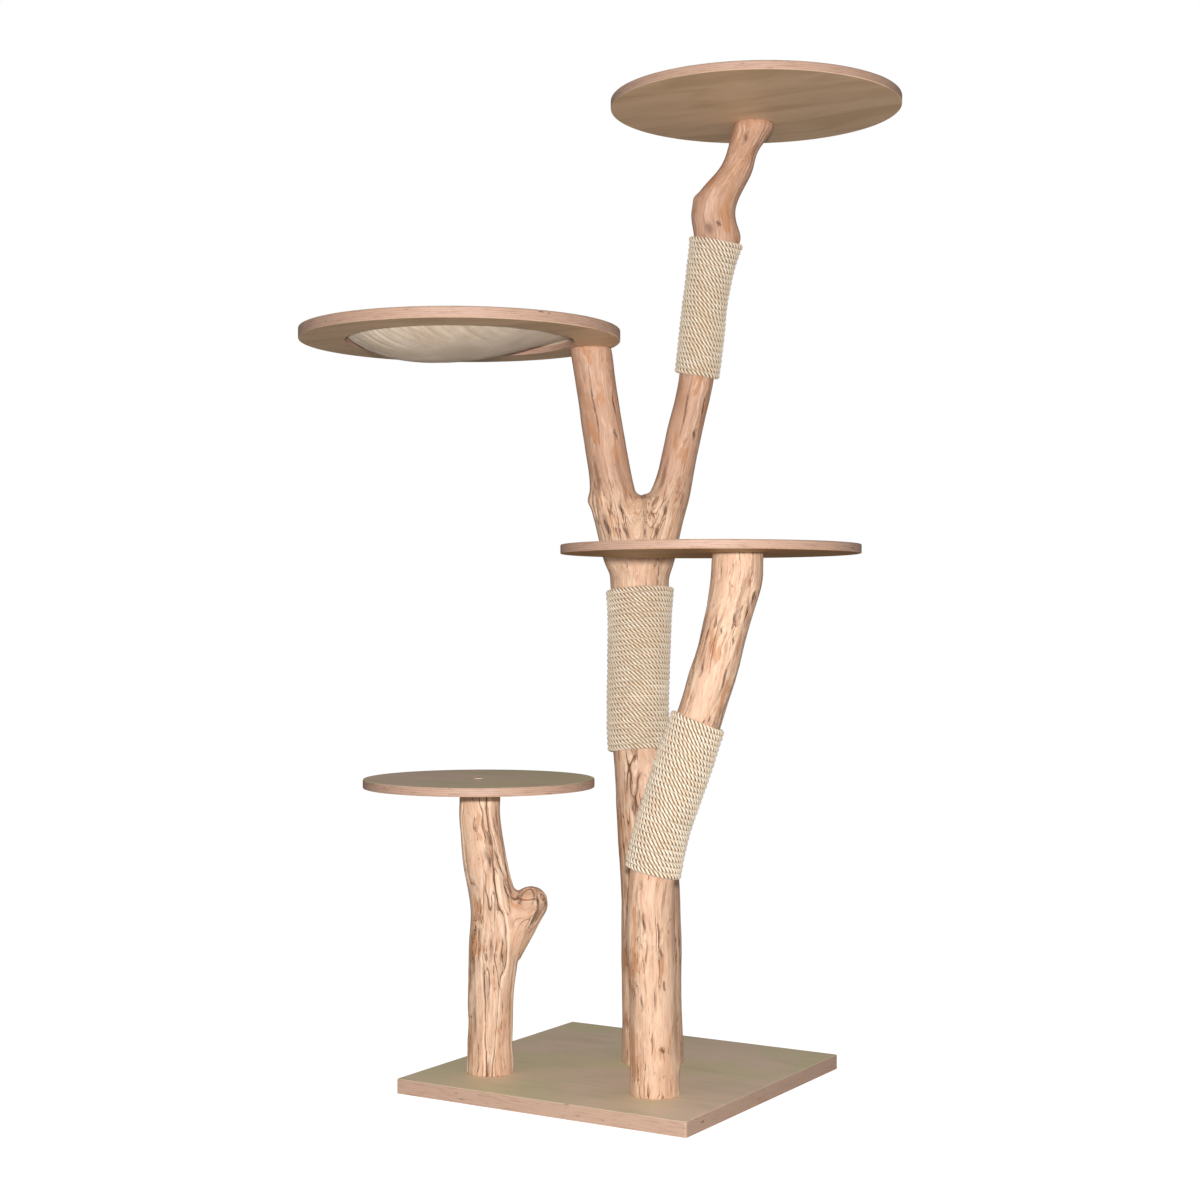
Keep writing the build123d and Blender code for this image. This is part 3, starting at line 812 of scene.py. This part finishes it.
def wind_rope(name, node, timber, pith, tilts, overruns, seed):
    """One length of laid rope, wound round a trunk from the winding's low end to its high end."""
    skin = timber.data
    tree = BVHTree.FromPolygons([v.co for v in skin.vertices], [p.vertices for p in skin.polygons])
    spool = Spool(pith, node, tilts, overruns)
    inset = WRAP_THICKNESS / 2
    turns = (spool.length - 2 * inset) / ROPE_PITCH
    t = np.linspace(0, turns, int(turns * STEPS_PER_TURN))
    turn = NAIL_SIDE + 2 * math.pi * t
    wander = np.array([noise.noise(Vector((2 * math.cos(a), 2 * math.sin(a), k * 0.9 + seed)))
                       for a, k in zip(turn, t)])
    along = inset + t * ROPE_PITCH + wander * ROPE_WANDER
    out = spool.out(along, turn)
    lift = read_table(spool.surface(tree), along, turn) + ROPE_RADIUS - ROPE_SUNK
    line = spool.middle(along) + out * lift[:, None]
    lengths = np.concatenate([[0], np.cumsum(np.linalg.norm(np.diff(line, axis=0), axis=1))])
    total = lengths[-1]
    even = np.linspace(0, total, int(total / ROPE_LAY * SEGMENTS_PER_LAY))
    line, out = resampled(line, lengths, even), resampled(out, lengths, even)
    obj = link(name, lay_strands(name, line, out, even, seed))
    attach(obj, "root")
    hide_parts(node)
    print(f"{name}: {turns:.1f} turns, {total:.2f} m of rope")
    return obj


def rope_paint():
    paint = Paint("sisal_rope", {"Roughness": 0.7, "Sheen Weight": 0.15, "Sheen Roughness": 0.4})
    hollow = paint.attribute("hollow").outputs["Fac"]
    strand = paint.attribute("strand").outputs["Vector"]
    fibre = paint.noise(paint.stretch(strand, (1, 1, 0.08)), 1500, 3, 0.6)
    tone = paint.noise(strand, 35, 3, 0.6)
    colour = paint.mix(paint.ramp(tone, 0.3, 0.7), linear(255, 244, 224), linear(242, 220, 192))
    colour = paint.over(colour, paint.ramp(fibre, 0.45, 0.8, 0, 0.6), 206, 170, 130)
    # Painted shade: the rope is darkened in the hollows between its strands
    colour = paint.over(colour, paint.ramp(hollow, 0.1, 0.8), 124, 88, 54)
    return paint.finish(Base_Color=colour, Normal=paint.bump(fibre, 0.3 * MM, 0.7))


rope_material = rope_paint()
WINDINGS = (
    ("stem", forked_timber_piece, left_pith, (0, 0), (0, 0), 1),
    ("front", front_timber, front_pith, (0, 10), (0, 8), 2),
    ("branch", forked_timber_piece, right_pith, (6, 5), (-3, -4), 3),
)
for place, *winding in WINDINGS:
    piece = wind_rope(place + "_rope", "rope_wrap_" + place, *winding)
    piece.data.materials.append(rope_material)

# Plywood ----------------------------------------------------------------------


def plywood_paint(node, plies, face, under, rim):
    """Plywood, with its veneers on the rim and a fine straight grain on its faces."""
    paint = Paint(node + "_plywood", {"Roughness": 0.5, "IOR": 1.5})
    low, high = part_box(node)
    place = paint.place()
    x, y, z = paint.split(place)
    normal = paint.split(paint.node("ShaderNodeNewGeometry").outputs["True Normal"])
    on_face = paint.ramp(paint.math("ABSOLUTE", normal[2]), 0.55, 0.85)
    on_top = paint.ramp(normal[2], 0.55, 0.85)
    grain = paint.stretch(place, (0.05, 1, 1))
    fine = paint.noise(grain, 380, 5, 0.6, 0.2)
    broad = paint.noise(paint.stretch(place, (0.25, 1, 1)), 18, 4, 0.55, 0.7)
    cloud = paint.noise(place, 5, 2, 0.5)
    top = paint.mix(paint.ramp(cloud, 0.35, 0.65), face[0], face[1])
    top = paint.mix(paint.ramp(broad, 0.45, 0.75, 0, 0.35), top, face[2])
    top = paint.mix(paint.ramp(fine, 0.45, 0.8, 0, 0.35), top, face[2])
    below = paint.mix(paint.ramp(broad, 0.35, 0.7), under[0], under[1])
    below = paint.mix(paint.ramp(fine, 0.5, 0.8, 0, 0.3), below, under[1])
    flat = paint.mix(on_top, below, top)
    level = paint.times(paint.math("SUBTRACT", z, low.z), plies / (high.z - low.z))
    within = paint.math("FRACT", level)
    odd = paint.math("GREATER_THAN", paint.math("FRACT", paint.times(level, 0.5)), 0.5)
    glue = paint.ramp(paint.away(within, 0.5), 0.36, 0.5, 0, 0.4)
    end_grain = paint.noise(paint.stretch(place, (1, 1, 3)), 600, 3, 0.6)
    long_grain = paint.noise(paint.stretch(place, (0.07, 0.07, 1)), 420, 4, 0.6)
    ply = paint.mix(odd, rim[0], rim[1])
    ply = paint.mix(paint.ramp(end_grain, 0.4, 0.75, 0, 0.2), ply, rim[2])
    ply = paint.mix(paint.ramp(long_grain, 0.5, 0.68, 0, 0.5), ply, rim[2])
    chip = paint.noise(paint.stretch(place, (0.35, 0.35, 2), (4, 7, 2)), 120, 2, 0.5)
    ply = paint.over(ply, paint.ramp(chip, 0.71, 0.75, 0, 0.8), 96, 66, 48)
    ply = paint.mix(glue, ply, rim[2])
    colour = paint.mix(on_face, ply, flat)
    height = paint.mix(on_face, paint.math("SUBTRACT", end_grain, glue), fine)
    return paint.finish(Base_Color=colour, Normal=paint.bump(height, 0.4 * MM, 0.6))


FACE_TONES = (linear(226, 212, 170), linear(240, 212, 186), linear(194, 178, 142))
UNDER_TONES = (linear(222, 186, 150), linear(200, 164, 126))
# The middle disc's underside: the underside veneer darkened and browned as painted shade, for the
# shadow it lies in
PAINTED_SHADE_UNDER_TONES = (linear(178, 124, 52), linear(152, 104, 38))
RIM_TONES = (linear(200, 166, 146), linear(190, 152, 130), linear(148, 108, 84))
EDGE_TONES = (linear(206, 174, 152), linear(198, 162, 140), linear(164, 126, 102))
# Each board with its number of plies, the tones of its underside and those of its rim; the middle
# disc's underside tones hold painted shade
BOARDS = (
    ("base_board", 15, UNDER_TONES, EDGE_TONES), ("short_disc", 9, UNDER_TONES, RIM_TONES),
    ("middle_disc", 9, PAINTED_SHADE_UNDER_TONES, RIM_TONES), ("top_disc", 9, UNDER_TONES, RIM_TONES),
    ("hammock_ring", 11, UNDER_TONES, RIM_TONES),
)
for node, plies, under_tones, rim_tones in BOARDS:
    paint_node(node, plywood_paint(node, plies, FACE_TONES, under_tones, rim_tones))

# Hammock ----------------------------------------------------------------------

CLOTH_GRID = 88
CLOTH_SLACK = 1.036
# How much of the slack is gathered toward the hoop's left, seen from the camera
CLOTH_GATHER = 0.05
CLOTH_RIM = 0.9999
CLOTH_GATHER_FRAMES = 12
CLOTH_FRAMES = 70
CLOTH_THICKNESS = 1.2 * MM
HEM_STEPS = 360
HEM_SIDES = 16
HEM_SEAM = 2.2 * MM
HEM_PADDING = 1.2 * MM
HEM_PUCKER = 0.5 * MM
HEM_LIMIT = 1.45 * MM
# How far above level the seam faces, in radians
SEAM_TILT = 0.25
WEAVE_PITCH = 1.1 * MM
RIM_GAP = 0.75 * MM
FIRST_SAG = 2 * MM
hoop_low, hoop_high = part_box("hammock_hoop")
hoop_centre = (hoop_low + hoop_high) / 2
hoop_wire = (hoop_high.z - hoop_low.z) / 2
cloth_radius = (hoop_high.x - hoop_low.x) / 2 - 2 * hoop_wire - RIM_GAP


def cloth_grid():
    """A round of cloth as a grid of squares, with the places of its rim points."""
    side = np.linspace(-1, 1, CLOTH_GRID + 1)
    u, v = (g.ravel() for g in np.meshgrid(side, side))
    x, y = u * np.sqrt(1 - v * v / 2), v * np.sqrt(1 - u * u / 2)
    rim = [i for i in range(len(u)) if max(abs(u[i]), abs(v[i])) > CLOTH_RIM]
    row = CLOTH_GRID + 1
    faces = [(i * row + j, i * row + j + 1, (i + 1) * row + j + 1, (i + 1) * row + j)
             for i in range(CLOTH_GRID) for j in range(CLOTH_GRID)]
    return np.array([x, y]).T, rim, faces


def hang_cloth():
    """A round of cloth, cut larger than the hoop, is gathered onto it and sags under its own weight."""
    flat, rim, faces = cloth_grid()
    start = np.zeros((len(flat), 3))
    start[:, :2] = flat * cloth_radius * CLOTH_SLACK
    ripple = np.array([noise.noise(Vector((p[0] * 4, p[1] * 4, 1.5))) for p in flat])
    start[:, 2] = -FIRST_SAG * (1 - np.sum(flat**2, axis=1)) * (1 + ripple)
    start += np.array(hoop_centre)
    obj = link("hammock_cloth", mesh_of("hammock_cloth", start, faces))
    turn = np.arctan2(flat[:, 1], flat[:, 0])
    turn -= CLOTH_GATHER * np.sin(turn - CAMERA_AZIMUTH - math.pi)
    on_hoop = np.array([np.cos(turn), np.sin(turn)]).T * cloth_radius + np.array(hoop_centre[:2])
    goal = start.copy()
    goal[rim, :2] = on_hoop[rim]
    obj.shape_key_add(name="cut")
    key = obj.shape_key_add(name="hung")
    key.data.foreach_set("co", goal.ravel())
    for number, value in ((1, 0), (CLOTH_GATHER_FRAMES, 1)):
        key.value = value
        key.keyframe_insert("value", frame=number)
    held = obj.vertex_groups.new(name="held")
    held.add(rim, 1.0, "REPLACE")
    cloth = obj.modifiers.new("cloth", "CLOTH")
    settings = cloth.settings
    settings.quality = 8
    settings.mass = 0.2
    settings.tension_stiffness = 60
    settings.compression_stiffness = 60
    settings.shear_stiffness = 12
    settings.bending_stiffness = 0.08
    settings.tension_damping = 12
    settings.compression_damping = 12
    settings.shear_damping = 8
    settings.air_damping = 3
    settings.vertex_group_mass = "held"
    cloth.collision_settings.use_collision = False
    cloth.point_cache.frame_start = 1
    cloth.point_cache.frame_end = CLOTH_FRAMES
    scene = bpy.context.scene
    for number in range(1, CLOTH_FRAMES + 1):
        scene.frame_set(number)
    hung_points = points_of(evaluated_mesh(obj))
    bpy.data.objects.remove(obj)
    scene.frame_set(1)
    print("cloth sag", hoop_centre.z - hung_points[:, 2].min())
    return link("hammock_cloth", mesh_of("hammock_cloth", hung_points, faces))


def cloth_paint():
    paint = Paint("hammock_canvas", {"Roughness": 0.85, "Sheen Weight": 0.2, "Sheen Roughness": 0.5})
    x, y, _ = paint.split(paint.place())
    weave = [paint.math("SINE", paint.times(c, 2 * math.pi / WEAVE_PITCH)) for c in (x, y)]
    threads = paint.times(*weave)
    slub = paint.noise(paint.stretch(paint.place(), (1, 0.1, 1)), 500, 2, 0.5)
    cloud = paint.noise(paint.place(), 14, 3, 0.5)
    colour = paint.mix(paint.ramp(cloud, 0.35, 0.65), linear(230, 208, 184), linear(212, 187, 158))
    colour = paint.over(colour, paint.ramp(slub, 0.5, 0.75, 0, 0.3), 160, 140, 116)
    height = paint.math("ADD", paint.times(threads, 0.5), slub)
    return paint.finish(Base_Color=colour, Normal=paint.bump(height, 0.25 * MM, 0.6))


cloth_material = cloth_paint()
cloth_piece = hang_cloth()
thick = cloth_piece.modifiers.new("thickness", "SOLIDIFY")
thick.thickness = CLOTH_THICKNESS
thick.offset = 0
solid_cloth = evaluated_mesh(cloth_piece)
cloth_piece.modifiers.clear()
cloth_piece.data = solid_cloth
cloth_piece.data.materials.append(cloth_material)
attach(cloth_piece, "hammock")
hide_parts("hammock_fabric")


def sew_hem():
    """The casing that the cloth is turned over the hoop into, puckered, and drawn in to its seam."""
    ring = (hoop_high.x - hoop_low.x) / 2 - hoop_wire
    around = np.arange(HEM_STEPS) * 2 * math.pi / HEM_STEPS
    pucker = np.array([noise.noise(Vector((18 * math.cos(a), 18 * math.sin(a), 4))) for a in around])
    rows = []
    for angle in np.arange(HEM_SIDES) * 2 * math.pi / HEM_SIDES:
        inward = max(0.0, -math.cos(angle + SEAM_TILT)) ** 6
        padding = np.minimum(HEM_PADDING + HEM_PUCKER * pucker * (1 - inward), HEM_LIMIT)
        reach = hoop_wire + padding + HEM_SEAM * inward
        radius = ring + reach * math.cos(angle)
        row = [radius * np.cos(around), radius * np.sin(around), reach * math.sin(angle)]
        rows.append(np.array(row).T)
    points = np.stack(rows, 1).reshape(-1, 3) + np.array(hoop_centre)
    faces = []
    for i in range(HEM_STEPS):
        a, b = i * HEM_SIDES, (i + 1) % HEM_STEPS * HEM_SIDES
        faces += [(a + k, b + k, b + (k + 1) % HEM_SIDES, a + (k + 1) % HEM_SIDES)
                  for k in range(HEM_SIDES)]
    hem = link("hammock_hem", mesh_of("hammock_hem", points, faces))
    hem.data.materials.append(cloth_material)
    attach(hem, "hammock")
    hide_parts("hammock_fabric")
    return hem


sew_hem()

# Small parts ------------------------------------------------------------------


def steel_paint():
    paint = Paint("zinc_steel", {"Metallic": 1.0, "Roughness": 0.35})
    place = paint.place()
    spangle = paint.noise(place, 700, 2, 0.5)
    colour = paint.mix(paint.ramp(spangle, 0.35, 0.65), linear(196, 198, 200), linear(168, 170, 174))
    return paint.finish(Base_Color=colour, Roughness=paint.ramp(spangle, 0.3, 0.7, 0.28, 0.45))


def plug_paint():
    paint = Paint("plug_wood", {"Roughness": 0.55})
    place = paint.place()
    grain = paint.noise(paint.stretch(place, (0.2, 1, 1)), 900, 4, 0.6, 0.4)
    colour = paint.mix(paint.ramp(grain, 0.4, 0.7), linear(232, 210, 178), linear(204, 172, 134))
    return paint.finish(Base_Color=colour, Normal=paint.bump(grain, 0.2 * MM, 0.5))


steel_material, plug_material = steel_paint(), plug_paint()
for name in NODES:
    if name.endswith(("screw", "screws", "washers", "nails", "hoop")):
        paint_node(name, steel_material)
    elif name.endswith("plug"):
        paint_node(name, plug_material)

# Floor and light --------------------------------------------------------------

FLOOR_REACH = 30
FLOOR_BELOW = 0.5 * MM
FLOOR_GLOW = 0.9
SKY_STRENGTH = 0.23
FLASH_ABOVE_CAMERA = Vector((0, 0, 0.16))
FLASH_AIM = Vector((0, 0, 0.85))
FLASH_SIZE = 0.1
FLASH_POWER = 122
WHITE = (1, 1, 1, 1)


def add_floor():
    """A pale floor, which glows only for the camera, as the photo's white ground does."""
    corners = [(x * FLOOR_REACH, y * FLOOR_REACH, 0) for x, y in ((-1, -1), (1, -1), (1, 1), (-1, 1))]
    mesh = mesh_of("floor", corners, [(0, 1, 2, 3)])
    paint = Paint("pale_floor", {"Roughness": 0.9, "Specular IOR Level": 0.1})
    floor = link("floor", mesh)
    floor.location.z = -FLOOR_BELOW
    seen = paint.node("ShaderNodeLightPath").outputs["Is Camera Ray"]
    mesh.materials.append(paint.finish(Base_Color=(0.5, 0.5, 0.5), Emission_Color=WHITE,
                                       Emission_Strength=paint.times(seen, FLOOR_GLOW)))


def add_world():
    """A weak even sky, which the camera sees as white."""
    world = bpy.data.worlds.new("studio")
    bpy.context.scene.world = world
    world.use_nodes = True
    nodes, links = world.node_tree.nodes, world.node_tree.links
    background = nodes["Background"]
    background.inputs["Color"].default_value = WHITE
    background.inputs["Strength"].default_value = SKY_STRENGTH
    backdrop = nodes.new("ShaderNodeBackground")
    backdrop.inputs["Color"].default_value = WHITE
    path = nodes.new("ShaderNodeLightPath")
    mix = nodes.new("ShaderNodeMixShader")
    links.new(path.outputs["Is Camera Ray"], mix.inputs[0])
    links.new(background.outputs[0], mix.inputs[1])
    links.new(backdrop.outputs[0], mix.inputs[2])
    links.new(mix.outputs[0], nodes["World Output"].inputs["Surface"])


def add_flash():
    """The key light, close above the camera."""
    data = bpy.data.lights.new("flash", "AREA")
    data.shape = "DISK"
    data.size = FLASH_SIZE
    data.energy = FLASH_POWER
    flash = bpy.data.objects.new("flash", data)
    bpy.context.scene.collection.objects.link(flash)
    flash.location = CAMERA_PLACE + FLASH_ABOVE_CAMERA
    flash.rotation_mode = "QUATERNION"
    flash.rotation_quaternion = (FLASH_AIM - flash.location).to_track_quat("-Z", "Y")


add_floor()
add_world()
add_flash()
bpy.context.scene.view_settings.view_transform = "Standard"
